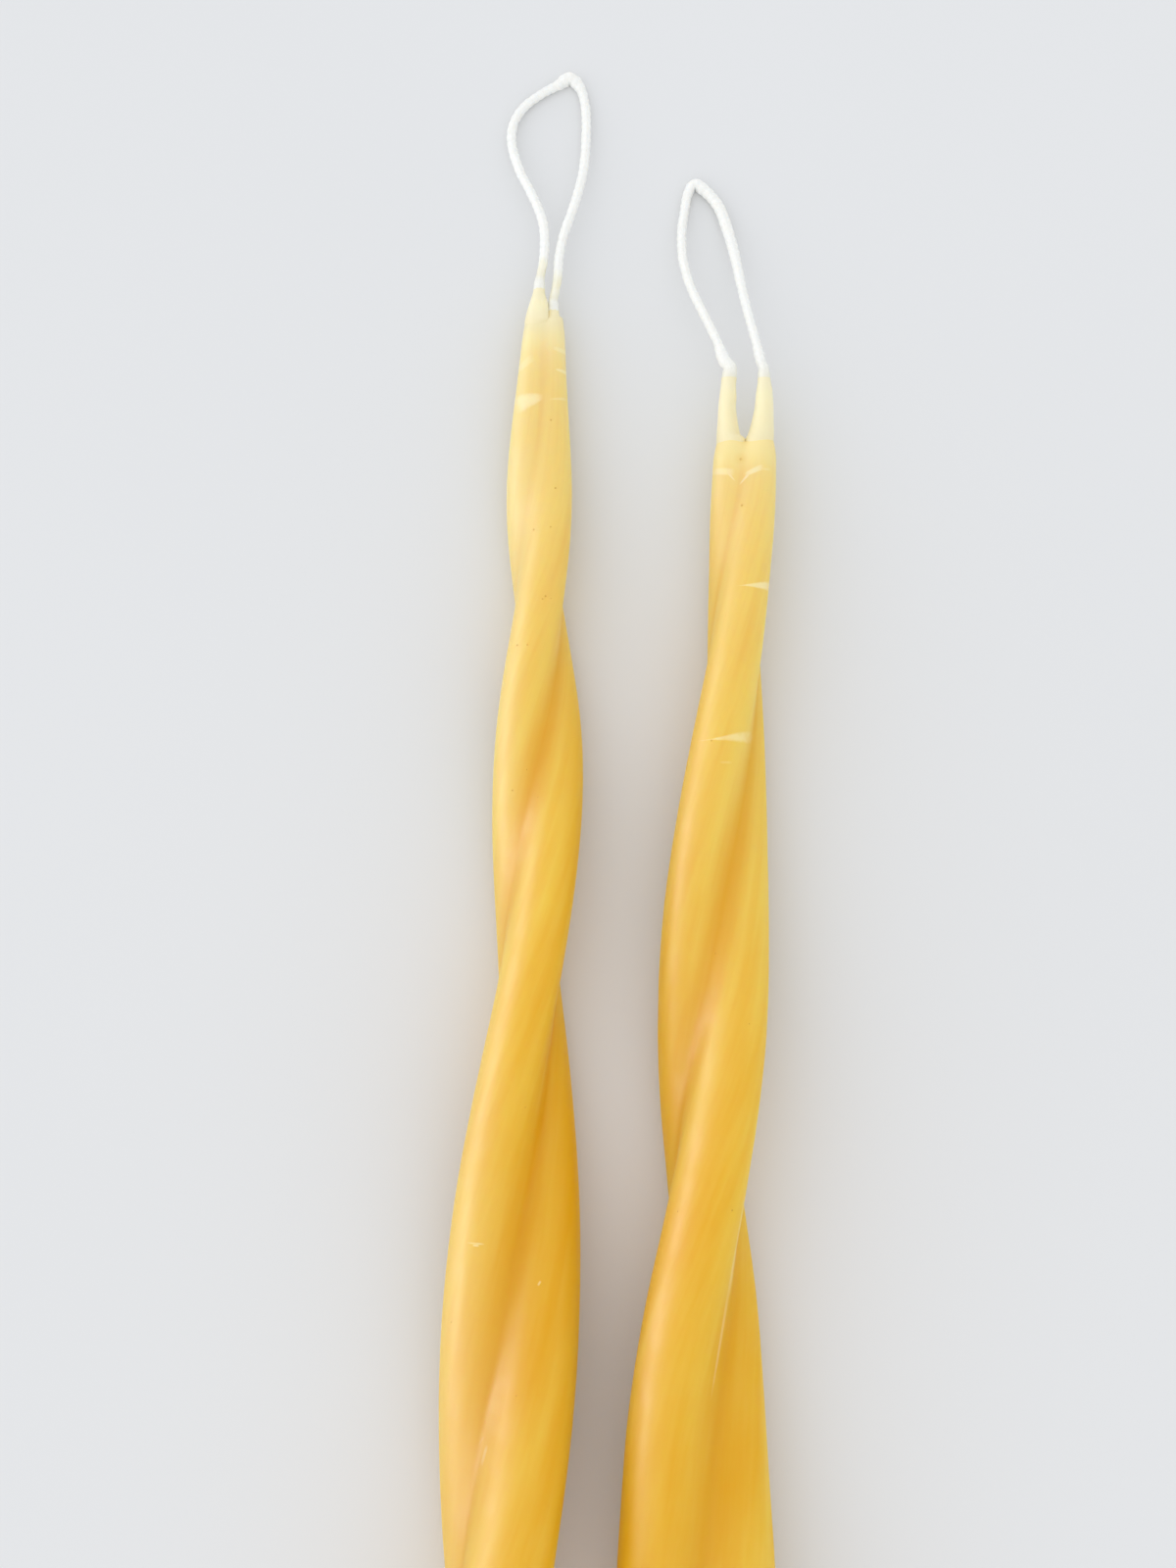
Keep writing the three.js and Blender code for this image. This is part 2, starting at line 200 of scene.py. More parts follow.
def ripple(seed, waves, around, lengthwise, angle, t):
    """Gentle relief of at most 2 each way, made of sine waves that close round the outline."""
    rng = np.random.default_rng(seed)
    total = np.zeros(np.broadcast(angle, t).shape)
    for _ in range(waves):
        turns = rng.integers(around[0], around[1] + 1)
        pitch = rng.uniform(*lengthwise)
        shift = rng.uniform(0, 2 * math.pi, 2)
        swing = 0.6 * np.sin(2 * math.pi * t / pitch + shift[1])
        total += np.sin(turns * angle + shift[0] + swing * turns / 2)
        total += np.sin(2 * math.pi * t / pitch + shift[1] + turns * angle)
    return total / waves


# Meshes

def build(name, points, faces, attributes=(), sharp=None):
    """A smooth-shaded mesh object at the origin. Each attribute has a number or a vector for each point."""
    mesh = bpy.data.meshes.new(name)
    mesh.from_pydata([tuple(p) for p in np.asarray(points) * MM], [], faces)
    for label, values in dict(attributes).items():
        kind, field = ("FLOAT", "value") if values.ndim == 1 else ("FLOAT_VECTOR", "vector")
        layer = mesh.attributes.new(label, kind, "POINT")
        layer.data.foreach_set(field, np.asarray(values, np.float32).ravel())
    mesh.shade_smooth()
    if sharp:
        mesh.set_sharp_from_angle(angle=math.radians(sharp))
    mesh.validate()
    mesh.update()
    piece = bpy.data.objects.new(name, mesh)
    bpy.context.scene.collection.objects.link(piece)
    return piece


def angles(sides):
    return np.arange(sides) * 2 * math.pi / sides


def tube_faces(rows, sides, flip=False):
    """Quads between rings, and triangles from each end's ring to a middle point that follows the rings."""
    faces = []
    for i in range(rows - 1):
        for j in range(sides):
            k = (j + 1) % sides
            quad = (i * sides + j, i * sides + k, (i + 1) * sides + k, (i + 1) * sides + j)
            faces.append(quad[::-1] if flip else quad)
    for ring, middle, turned in ((0, rows * sides, not flip), (rows - 1, rows * sides + 1, flip)):
        for j in range(sides):
            pair = (ring * sides + j, ring * sides + (j + 1) % sides)
            faces.append((middle, *pair[::-1]) if turned else (middle, *pair))
    return faces


def with_middles(rings, first=None):
    """The rings' points followed by the middle of the first and of the last ring."""
    top = rings[0].mean(axis=0) if first is None else first
    return np.concatenate([rings.reshape(-1, 3), [top], [rings[-1].mean(axis=0)]])


def for_points(values, shape, first=0, last=0):
    """Values spread over rings of this shape, in the order of their points, and then for the two middles."""
    return np.concatenate([np.broadcast_to(values, shape).ravel(), [first, last]])


def flow_along(angle, run, first, last):
    """The direction round the outline and the distance along it, for the rings' points and the middles."""
    angle, run = np.broadcast_arrays(angle, run)
    flow = np.stack([np.cos(angle), np.sin(angle), run], -1).reshape(-1, 3)
    return np.concatenate([flow, [(0, 0, first), (0, 0, last)]])


# The wick

def free_route(candle):
    """The free wick's route, from the stub of strand b round to the stub of strand a."""
    ends, inside = [], []
    for strand in (1, 0):
        top = tip_depth(candle, strand) - WICK_STUB
        tip = strand_point(candle, strand, top, 0, 0)
        below = strand_point(candle, strand, top + 2 * WICK_RADIUS, 0, 0)
        outward = (tip - below) / np.linalg.norm(tip - below)
        ends.append([tip + outward * reach for reach in (FIT_GAP, FIT_GAP + 2 * WICK_RADIUS)])
        inside.append([tip - outward * WICK_INSIDE])
    x, y = candle["tip"]
    free = [np.array([x + p[0], y + p[1], candle["rise"][0] + p[2]]) for p in candle["loop"]]
    return np.array(inside[0] + ends[0] + free + ends[1][::-1] + inside[1])


def smooth_route(points, step):
    """Centripetal Catmull-Rom curve through the points, resampled at even steps."""
    points = np.concatenate([[2 * points[0] - points[1]], points, [2 * points[-1] - points[-2]]])
    dense = []
    for p0, p1, p2, p3 in zip(points, points[1:], points[2:], points[3:]):
        t0 = 0.0
        t1 = t0 + np.linalg.norm(p1 - p0) ** 0.5
        t2 = t1 + np.linalg.norm(p2 - p1) ** 0.5
        t3 = t2 + np.linalg.norm(p3 - p2) ** 0.5
        t = np.linspace(t1, t2, 24, endpoint=False)[:, None]
        a1 = (t1 - t) / (t1 - t0) * p0 + (t - t0) / (t1 - t0) * p1
        a2 = (t2 - t) / (t2 - t1) * p1 + (t - t1) / (t2 - t1) * p2
        a3 = (t3 - t) / (t3 - t2) * p2 + (t - t2) / (t3 - t2) * p3
        b1 = (t2 - t) / (t2 - t0) * a1 + (t - t0) / (t2 - t0) * a2
        b2 = (t3 - t) / (t3 - t1) * a2 + (t - t1) / (t3 - t1) * a3
        dense.append((t2 - t) / (t2 - t1) * b1 + (t - t1) / (t2 - t1) * b2)
    dense = np.concatenate(dense + [points[-2:-1]])
    run = np.concatenate([[0], np.cumsum(np.linalg.norm(np.diff(dense, axis=0), axis=1))])
    even = np.linspace(0, run[-1], max(int(run[-1] / step), 2) + 1)
    return np.stack([np.interp(even, run, dense[:, i]) for i in range(3)], axis=1), even


def tube_rings(line, radius, sides):
    """Rings round a line, carried along without twisting, with a radius for each of their points."""
    ahead = np.gradient(line, axis=0)
    ahead /= np.linalg.norm(ahead, axis=1)[:, None]
    side = np.cross(ahead[0], (0, 0, 1))
    side /= np.linalg.norm(side)
    angle = angles(sides)
    rings = []
    for here, direction, reach in zip(line, ahead, radius):
        side = side - direction * np.dot(side, direction)
        side /= np.linalg.norm(side)
        up = np.cross(side, direction)
        turn = np.cos(angle)[:, None] * side + np.sin(angle)[:, None] * up
        rings.append(here + turn * reach[:, None])
    return np.array(rings)


def braid(angle, run, dryness):
    """Relief of a round braid in mm: crossed strands, softened where the wick is full of wax."""
    strands, pitch, relief = 4, 3.0, 0.10
    advance = 2 * math.pi * run / pitch
    crossing = np.cos(strands * angle + advance) * np.cos(strands * angle - advance)
    return relief * dryness * crossing


def wick_bight(candle):
    """The free bight of the wick: waxed near the tips, kinked at its far end and rough where it is dry."""
    route = free_route(candle)
    line, run = smooth_route(route, 0.22)
    sides = 28
    angle = angles(sides)[None, :]
    s = run[:, None]
    length = run[-1]
    from_end = np.minimum(s, length - s)
    film = np.where(s < length / 2, candle["film"][1], candle["film"][0])
    waxed = 1 - ease(film - 2.5, film + 1.5, from_end)
    waxed = waxed * (1 - candle["frost"] * (1 - ease(3.4, 4.8, from_end)))
    kink = np.linalg.norm(line - route[LEAD_POINTS + candle["kink"]], axis=1).argmin()
    past_kink = s - run[kink]
    bulge = candle["bulge"][0] * np.exp(-(past_kink / candle["bulge"][1]) ** 2)
    radius = WICK_RADIUS + candle["thick"][0] + bulge - 0.04 * waxed
    radius = radius + candle["thick"][1] * (1 - ease(8, 32, past_kink)) * ease(-1.5, 1.5, past_kink)
    lump = np.where(s < length / 2, candle["lumps"][1], candle["lumps"][0])
    radius = radius + lump * (1 - ease(6.5, 10.5, from_end))
    radius = radius + braid(angle, s, 1 - 0.85 * waxed)
    radius = radius + 0.06 * ripple(candle["seed"], 7, (0, 3), (1.6, 7.0), angle, s)
    # A collar of wax where it comes out of the tip, and slimmer inside
    radius = radius + 0.26 * (1 - ease(1.6, 5.0, from_end))
    radius = radius - 0.35 * (1 - ease(0.9, 1.9, from_end))
    rings = tube_rings(line, radius, sides)
    points = with_middles(rings)
    points[:, 2] = np.maximum(points[:, 2], 0)
    attributes = {
        "flow": flow_along(angle, s, 0, length),
        "waxed": for_points(waxed, radius.shape, 1, 1),
        "glow": for_points(ease(3.5, 6.5, from_end), radius.shape),
    }
    name = candle["name"] + "_looped_wick"
    piece = build(name, points, tube_faces(len(rings), sides, flip=True), attributes)
    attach(piece, "root")
    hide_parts(candle["name"] + "_wick_loop")
    return piece


def wick_leg(candle, strand):
    """The wick inside a taper, from within the end of the free bight to the butt."""
    overlap = 0.2
    top = tip_depth(candle, strand) - WICK_STUB - FIT_GAP - overlap
    t = np.concatenate([
        np.arange(top, top + 6, 0.3),
        np.arange(top + 6, LENGTH - 1, 3.0),
        [LENGTH - 1, LENGTH],
    ])
    sides = 20
    angle = angles(sides)[None, :]
    depth = t[:, None]
    radius = WICK_RADIUS - 0.04 + braid(angle, depth, 0.3)
    rings = strand_point(candle, strand, depth, radius * np.cos(angle), radius * np.sin(angle))
    points = with_middles(rings)
    attributes = {
        "flow": flow_along(angle, depth, top, LENGTH),
        "waxed": np.full(len(points), 0.8),
        "glow": for_points(0.8 * (depth < LENGTH - 2), radius.shape, 0.8, 0),
    }
    letter = "ab"[strand]
    name = f"{candle['name']}_wick_in_taper_{letter}"
    piece = build(name, points, tube_faces(len(rings), sides), attributes, sharp=60)
    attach(piece, "root")
    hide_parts(f"{candle['name']}_wick_leg_{letter}")
    return piece


# The wax

def dipped_taper(candle, strand):
    """One of the two tapers: a rounded prong above the rim, flattened against the other one below it."""
    tip = tip_depth(candle, strand)
    rim = candle["rim"]
    t = np.concatenate([
        np.arange(tip - 0.9, max(rim + 4, tip + 8), 0.25),
        np.arange(max(rim + 4, tip + 8) + 1, LENGTH - 1.5, 2.0),
        [LENGTH - 0.6, LENGTH - 0.2, LENGTH - 0.05, LENGTH],
    ])
    sides = 64
    depth = t[:, None]
    angle = angles(sides)[None, :]
    full = strand_radius(candle, strand, depth)
    # The prong swells as far as the rim and draws in again under the coat
    swell = ease(tip, rim + 0.5, depth) * (1 - 0.8 * ease(rim + 0.5, rim + 5, depth))
    full = full + candle["prong"][strand] * swell
    # Where the prongs face each other they are fuller or slimmer on the inner side
    start, end = candle["join"]
    facing = ease(-0.25, 0.85, -np.cos(angle))
    reach = np.interp(depth, (start + 1, end - 1), candle["inner"][strand])
    full = full + reach * facing * ease(start, start + 3, depth) * (1 - ease(end - 1.2, end, depth))
    # A shoulder leads from the wick to the full wall, and the cut edge at the butt is softened
    shoulder = ease(tip - 1.0, tip + 1.5, depth)
    radius = (WICK_RADIUS + 0.3 + candle["lumps"][strand]) * (1 - shoulder) + full * shoulder
    radius = radius + 0.035 * ripple(candle["seed"] + 5 + strand, 6, (1, 4), (5, 16), angle, depth) * shoulder
    radius = radius - 0.12 * (1 - np.sqrt(np.clip((LENGTH - depth) / 0.2, 0, 1)))
    away, across = radius * np.cos(angle), radius * np.sin(angle)
    # The flat that faces the other taper
    flat = -(spread(candle, depth) - FIT_GAP / 2 * ease(rim, rim + 2, depth))
    seam = along(candle["seam"], depth)
    flat = flat + (seam if strand == 0 else -seam)
    away = np.maximum(away, flat)
    rings = strand_point(candle, strand, depth, away, across)
    points = with_middles(rings)
    below = for_points(depth, radius.shape, tip, LENGTH)
    glow = ease(tip + 0.5, tip + 3.0, below) * (1 - ease(rim - 2.5, rim - 0.5, below))
    attributes = {
        "flow": flow_along(angle, depth, tip, LENGTH),
        "depth": below,
        "out": for_points(np.hypot(away, across), radius.shape),
        "tint": along(candle["core_tint"], below),
        "glow": np.maximum(glow, ease(LENGTH - 5, LENGTH, below)),
    }
    letter = "ab"[strand]
    name = f"{candle['name']}_dipped_taper_{letter}"
    piece = build(name, points, tube_faces(len(rings), sides), attributes, sharp=50)
    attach(piece, "root")
    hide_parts(f"{candle['name']}_taper_core_{letter}")
    return piece


def coat_reach(candle, t, angle, proud, share):
    """How far the coat stands from the pair's axis, round two circles and over wax that fills a share of
    the hollow between. Also how full the crease is, and the reach of each circle."""
    apart = spread(candle, t)
    low = strand_radius(candle, 0, t) + proud
    high = strand_radius(candle, 1, t) + proud
    shift = apart * np.cos(angle)
    off = (apart * np.sin(angle)) ** 2
    near = shift + np.sqrt(np.maximum(low * low - off, 0))
    far = -shift + np.sqrt(np.maximum(high * high - off, 0))
    radius = (low + high) / 2
    hollow = radius - np.sqrt(np.maximum(radius * radius - apart * apart, 0))
    blend = 4 * share * hollow
    filled = np.maximum(1 - np.abs(near - far) / blend, 0)
    return np.maximum(near, far) + filled ** 2 * blend / 4, filled, near, far


def coat_of_wax(candle):
    """The skin of the last dips round both tapers, from its rim in the fork to the butt."""
    rim, edge = candle["rim"], candle["edge"]
    sides = 144
    rows = np.concatenate([
        rim + edge * (1 - np.cos(np.linspace(0, math.pi / 2, 14))),
        np.arange(rim + edge + 0.25, rim + edge + 4, 0.35),
        np.arange(rim + edge + 4.2, LENGTH - 1.2, 1.0),
        [LENGTH - 0.8, LENGTH - 0.45, LENGTH - 0.22, LENGTH - 0.1, LENGTH - BUTT_STEP],
    ])
    even = angles(sides)
    angle = (even + 0.2 * np.sin(2 * even))[None, :]
    level = rows[:, None]
    # The rim waves and dips in the fork, which fades out further down
    fade = np.exp(-(level - rim) / 5)
    wave = 0.18 * np.sin(3 * angle + candle["seed"]) + 0.10 * np.sin(7 * angle + 1.3)
    t = level + fade * (candle["notch"] * np.sin(angle) ** 4 + wave)
    rise = np.clip(1 - (1 - np.clip((level - rim) / edge, 0, 1)) ** 2, 0, 1) ** candle["lip"]
    wall = RIM_WALL + (COAT_WALL - RIM_WALL) * (1 - np.exp(-np.maximum(t - rim, 0) / RIM_TAPER))
    start = sum(candle["prong"]) / 2 - RIM_SUNK
    proud = start + (FIT_GAP + wall - start) * rise
    share = np.where(np.sin(angle) > 0, *(along(side, t) for side in candle["crease"]))
    share = share * (candle["bridge"] + (1 - candle["bridge"]) * rise)
    reach, crease, near, far = coat_reach(candle, t, angle, proud, share)
    # Slow relief, faint lengthwise flats and the softened cut edge
    swell = ease(rim, rim + 12, level)
    reach = reach + 0.07 * swell * ripple(candle["seed"] + 20, 6, (1, 3), (25, 70), angle, t)
    reach = reach + 0.04 * ease(30, 150, t) * ripple(candle["seed"] + 40, 9, (8, 18), (90, 220), angle, t)
    reach = reach - 0.3 * (1 - np.sqrt(np.clip((LENGTH - level - BUTT_STEP) / 0.5, 0, 1)))
    turn = np.radians(along(candle["turn"], t)) + angle
    rings = on_candle(candle, t, reach * np.cos(turn), reach * np.sin(turn))
    points = with_middles(rings, first=on_candle(candle, rim + candle["notch"] + 0.6, 0, 0))
    # Painted shade: deeper colour in the crease and on the strand that lies lower, and painted shade with
    # painted warm reflection on the side where the other candle lies
    low = np.where(near > far, -np.sin(turn - angle), np.sin(turn - angle))
    low = 0.45 * ease(0.15, 0.95, low)
    inward = candle["gap"] * np.cos(turn)
    painted_gap_shade = 0.5 * ease(0.35, 1.0, inward)
    painted_shade = np.maximum(np.maximum(crease * rise, low), painted_gap_shade) * (0.05 + 0.95 * ease(*candle["warmth"], t))
    # Painted sheen: paler on the side away from the other candle, the side the light comes from
    painted_sheen = candle["outer"] * ease(0.0, 1.0, -inward) * ease(12, 40, t)
    glow = ease(rim + 0.6, rim + 4 + edge, level) * (1 - 0.8 * ease(LENGTH - 3.0, LENGTH - 0.5, level))
    below = for_points(t, t.shape, rim, LENGTH)
    attributes = {
        "flow": flow_along(angle, t, rim, LENGTH),
        "depth": below,
        "painted_shade": for_points(painted_shade, t.shape),
        "tint": along(candle["skin_tint"], below) - for_points(painted_sheen, t.shape),
        "glow": for_points(glow, t.shape, 0, 0.2),
    }
    name = candle["name"] + "_coat_of_wax"
    piece = build(name, points, tube_faces(len(rings), sides), attributes, sharp=50)
    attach(piece, "root")
    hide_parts(candle["name"] + "_overdip_coat")
    return piece


# Materials

class Nodes:
    """Short calls for building one material's nodes."""

    def __init__(self, name):
        self.material = bpy.data.materials.new(name)
        self.material.use_nodes = True
        self.tree = self.material.node_tree
        self.tree.nodes.clear()

    def add(self, kind, inputs=(), **settings):
        node = self.tree.nodes.new(kind)
        for key, value in settings.items():
            setattr(node, key, value)
        for socket, value in dict(inputs).items():
            self.feed(node.inputs[socket], value)
        return node

    def feed(self, socket, value):
        if isinstance(value, bpy.types.NodeSocket):
            self.tree.links.new(value, socket)
        else:
            socket.default_value = value

    def attribute(self, name, output="Fac"):
        return self.add("ShaderNodeAttribute", attribute_name=name).outputs[output]

    def math(self, operation, a, b=0.0, clamp=False):
        return self.add("ShaderNodeMath", {0: a, 1: b}, operation=operation, use_clamp=clamp).outputs[0]

    def ramp(self, value, stops):
        node = self.add("ShaderNodeValToRGB", {"Fac": value})
        elements = node.color_ramp.elements
        while len(elements) < len(stops):
            elements.new(0.5)
        for element, (place, colour) in zip(elements, stops):
            element.position = place
            element.color = (*colour, 1)
        return node.outputs["Color"]

    def between(self, value, low, high, a=0.0, b=1.0):
        inputs = {0: value, 1: low, 2: high, 3: a, 4: b}
        return self.add("ShaderNodeMapRange", inputs, interpolation_type="SMOOTHSTEP").outputs[0]

    def mix(self, factor, a, b):
        node = self.add("ShaderNodeMix", {0: factor}, data_type="RGBA")
        for socket, colour in ((node.inputs[6], a), (node.inputs[7], b)):
            self.feed(socket, colour if isinstance(colour, bpy.types.NodeSocket) else (*colour, 1))
        return node.outputs[2]

    def stretched(self, vector, scale):
        return self.add("ShaderNodeMapping", {"Vector": vector, "Scale": scale}).outputs[0]

    def noise(self, vector, scale, detail, rough):
        inputs = {"Vector": vector, "Scale": scale, "Detail": detail, "Roughness": rough}
        return self.add("ShaderNodeTexNoise", inputs).outputs["Fac"]

    def vector_math(self, operation, a, b=(0, 0, 0), output="Vector"):
        return self.add("ShaderNodeVectorMath", {0: a, 1: b}, operation=operation).outputs[output]

    def parts(self, vector):
        return self.add("ShaderNodeSeparateXYZ", {0: vector}).outputs

    def bump(self, height, distance, strength, normal=None):
        node = self.add("ShaderNodeBump", {"Height": height, "Distance": distance, "Strength": strength})
        if normal is not None:
            self.feed(node.inputs["Normal"], normal)
        return node.outputs["Normal"]

    def finish(self, **inputs):
        shader = self.add("ShaderNodeBsdfPrincipled")
        for key, value in inputs.items():
            self.feed(shader.inputs[key.replace("_", " ")], value)
        output = self.add("ShaderNodeOutputMaterial")
        self.tree.links.new(shader.outputs[0], output.inputs["Surface"])
        return self.material


CREAM = (0.92, 0.84, 0.56)
PALE = (0.825, 0.575, 0.07)
HONEY = (0.77, 0.415, 0.001)
# Colour of the painted shade in the folds, and of the spot in the right candle's fork
AMBER = (0.76, 0.39, 0.0)
PIT = (0.58, 0.28, 0.02)
# Pale colour of the bend marks, and of two painted highlight lines
BLOOM_AND_HIGHLIGHT = (0.95, 0.85, 0.56)
RIM = (0.98, 0.79, 0.34)

# Pale marks where the wax was bent, and in the last two rows painted highlight lines along the shoulder of
# the right candle's upper strand: middle in mm, turn in degrees, half length and half width in mm,
# how much narrower the left end is than the right one, and strength
BENDS_AND_HIGHLIGHTS = [
    ((-16.7, 146.1, 8.6), 36, 1.9, 0.85, 0.2, 0.5),
    ((-16.0, 138.0, 9.4), 16, 2.6, 2.0, -0.6, 1.0),
    ((-9.4, 149.1, 8.0), -14, 1.2, 0.5, 0.2, 0.7),
    ((-9.1, 144.6, 8.4), -10, 1.1, 0.45, 0.5, 0.8),
    ((-9.8, 138.4, 9.0), 6, 1.6, 0.35, 0.4, 0.4),
    ((24.9, 122.5, 12.4), -8, 1.8, 0.75, 0.1, 0.8),
    ((26.4, 121.3, 12.4), -50, 1.1, 0.28, -0.6, 0.75),
    ((31.1, 122.5, 12.4), 24, 1.9, 0.62, 0.3, 0.95),
    ((29.1, 120.8, 12.4), 50, 1.4, 0.33, 0.6, 0.85),
    ((33.2, 122.8, 12.0), 0, 1.2, 0.25, 0.0, 0.4),
    ((31.0, 98.0, 13.6), 2, 3.3, 0.95, 1.0, 0.95),
    ((24.9, 66.2, 15.6), 5, 4.6, 1.2, 1.1, 0.8),
    ((24.6, 61.2, 15.6), 0, 1.1, 0.25, 0.0, 0.3),
    ((-26.1, -36.0, 24.0), -3, 1.5, 0.15, 0.0, 0.7),
    ((-26.1, -36.4, 24.0), -3, 0.6, 0.15, 0.0, 0.9),
    ((-13.3, -44.0, 24.0), 60, 0.45, 0.2, 0.0, 0.7),
    ((-24.3, -78.0, 27.0), 75, 1.9, 0.28, 0.0, 0.6),
    ((-25.0, -75.5, 27.0), 60, 1.2, 0.2, 0.0, 0.4),
    # Painted highlights: two thin pale lines along the shoulder of the right candle's upper strand
    ((26.47, -37.11, 22.0), 80, 9.6, 0.32, 0.0, 0.4),
    ((23.2, -55.06, 23.0), 80, 9.6, 0.32, 0.4, 0.35),
]

# Small dark pits and spots in the skin: middle in mm, and radius
PITS = [
    ((28.4, 125.0, 12.0), 0.25), ((28.5, 115.1, 12.3), 0.22), ((-10.3, 118.9, 9.6), 0.2),
    ((-11.3, 110.5, 10.0), 0.18), ((-14.8, 110.1, 10.0), 0.2), ((-12.3, 95.8, 10.5), 0.22),
    ((-16.0, 85.7, 11.0), 0.18), ((-18.1, 85.7, 10.5), 0.2), ((25.3, -29.0, 24.0), 0.2),
]

# The warm spot where the right candle's prongs part
FORK_SPOT = (28.4, 125.3, 12.0)


def bend_marks_and_highlights(n, place):
    """A mask of the pale bend marks and the painted highlight lines, each a soft block with a ragged edge
    that can be narrower at one end.
    """
    ragged = n.math("MULTIPLY", n.math("SUBTRACT", n.noise(place, 600.0, 4, 0.6), 0.5), 0.9)
    total = None
    for middle, turn, length, width, point, strength in BENDS_AND_HIGHLIGHTS:
        inputs = {
            "Vector": place, "Location": [v * MM for v in middle], "Rotation": (0, 0, math.radians(turn)),
            "Scale": (length * MM, width * MM, 6 * MM),
        }
        parts = n.parts(n.add("ShaderNodeMapping", inputs, vector_type="TEXTURE").outputs[0])
        slope = {0: parts["X"], 1: 0.5 * point, 2: 1 - 0.5 * abs(point)}
        narrow = n.add("ShaderNodeMath", slope, operation="MULTIPLY_ADD").outputs[0]
        across = n.math("DIVIDE", parts["Y"], n.math("MAXIMUM", narrow, 0.08))
        spot = n.add("ShaderNodeCombineXYZ", {0: parts["X"], 1: across, 2: parts["Z"]}).outputs[0]
        away = n.vector_math("LENGTH", n.vector_math("MULTIPLY", spot, spot), output="Value")
        mark = n.between(n.math("ADD", away, ragged), 1.75, 0.0, 0.0, strength)
        total = mark if total is None else n.math("MAXIMUM", total, mark)
    return total


def pits(n, place):
    """A mask of the small dark pits, those in the list and a few scattered ones."""
    scattered = n.add("ShaderNodeTexVoronoi", {"Vector": place, "Scale": 170.0}).outputs["Distance"]
    total = n.between(scattered, 0.035, 0.02)
    for middle, radius in PITS:
        away = n.vector_math("SUBTRACT", place, [v * MM for v in middle])
        away = n.vector_math("LENGTH", n.vector_math("MULTIPLY", away, (1, 1, 0.02)), output="Value")
        total = n.math("MAXIMUM", total, n.between(away, radius * 1.4 * MM, radius * 0.5 * MM))
    return total


def beeswax(name, is_coat):
    """Satin beeswax: cream near the tips and honey below, with soft streaks along the strands."""
    n = Nodes(name)
    flow = n.attribute("flow", "Vector")
    depth = n.attribute("depth")
    place = n.add("ShaderNodeTexCoord").outputs["Object"]
    streak = n.noise(n.stretched(flow, (1.0, 1.0, 0.010)), 2.4, 3, 0.5)
    fine = n.noise(n.stretched(flow, (1.0, 1.0, 0.006)), 8.0, 3, 0.5)
    cloud = n.noise(place, 55.0, 4, 0.55)
    tone = n.math("ADD", n.math("MULTIPLY", streak, 1.5), n.math("MULTIPLY", cloud, 0.5))
    tone = n.math("ADD", tone, n.math("MULTIPLY", fine, 0.4))
    tone = n.math("ADD", tone, n.between(depth, 30.0, 210.0, -0.32, -0.85))
    colour = n.ramp(tone, [(0.0, HONEY), (1.0, PALE)])
    wobble = n.math("MULTIPLY", n.math("SUBTRACT", cloud, 0.5), 0.25)
    tint = n.attribute("tint")
    fade = n.math("ADD", tint, n.math("MULTIPLY", wobble, n.math("SUBTRACT", 1.0, tint)), clamp=True)
    colour = n.mix(fade, CREAM, colour)
    rough = n.between(n.noise(place, 160.0, 4, 0.6), 0.3, 0.7, 0.54, 0.68)
    rough = n.math("ADD", rough, n.between(depth, 20.0, 130.0, 0.12, 0.0))
    grain = n.math("MULTIPLY", n.noise(place, 900.0, 3, 0.6), 0.3)
    normal = n.bump(n.math("ADD", grain, n.noise(place, 260.0, 4, 0.6)), 0.00004, 0.5)
    pit = pits(n, place)
    colour = n.mix(n.math("MULTIPLY", pit, 0.6), colour, PIT)
    normal = n.bump(n.math("MULTIPLY", pit, -1.0), 0.0002, 0.8, normal)
    if is_coat:
        # Painted shade: the folds, the lower strand and the side towards the other candle turn amber, as does
        # a spot in the right candle's fork
        painted_shade_mix = n.math("MULTIPLY", n.attribute("painted_shade"), 0.75)
        spot = n.vector_math("DISTANCE", place, [v * MM for v in FORK_SPOT], "Value")
        colour = n.mix(n.math("MAXIMUM", painted_shade_mix, n.between(spot, 0.0022, 0.0, 0.0, 0.45)), colour, AMBER)
        thin = n.math("SUBTRACT", 1.0, n.attribute("glow"))
        thin = n.math("MULTIPLY", thin, n.between(tint, 0.15, 0.45, 0.0, 0.75))
        thin = n.math("MULTIPLY", thin, n.between(depth, 60.0, 120.0, 1.0, 0.4))
        colour = n.mix(thin, colour, RIM)
        # Pale bend marks in the wax, and two painted highlight lines on the right candle
        mark = bend_marks_and_highlights(n, place)
        colour = n.mix(n.math("MULTIPLY", mark, 0.66), colour, BLOOM_AND_HIGHLIGHT)
        rough = n.math("ADD", rough, n.math("MULTIPLY", mark, 0.15))
        return n.finish(Base_Color=colour, Roughness=rough, Normal=normal, IOR=1.35, Coat_Weight=0.2,
                        Coat_Roughness=0.5, Subsurface_Weight=n.attribute("glow"),
                        Subsurface_Radius=(1.0, 0.8, 0.4),
                        Subsurface_Scale=n.between(depth, 5.0, 140.0, 0.005, 0.011))
    ring = n.math("SINE", n.math("MULTIPLY", n.attribute("out"), 6.0))
    facing = n.parts(n.add("ShaderNodeNewGeometry").outputs["Normal"])["Y"]
    ring = n.math("MULTIPLY", ring, n.between(facing, -0.7, -0.95))
    colour = n.mix(n.math("MULTIPLY", n.between(ring, 0.2, 1.0), 0.22), colour, CREAM)
    normal = n.bump(ring, 0.00003, 0.6, normal)
    return n.finish(Base_Color=colour, Roughness=rough, Normal=normal, IOR=1.5,
                    Subsurface_Weight=n.attribute("glow"), Subsurface_Radius=(1.0, 0.9, 0.8),
                    Subsurface_Scale=0.0012)


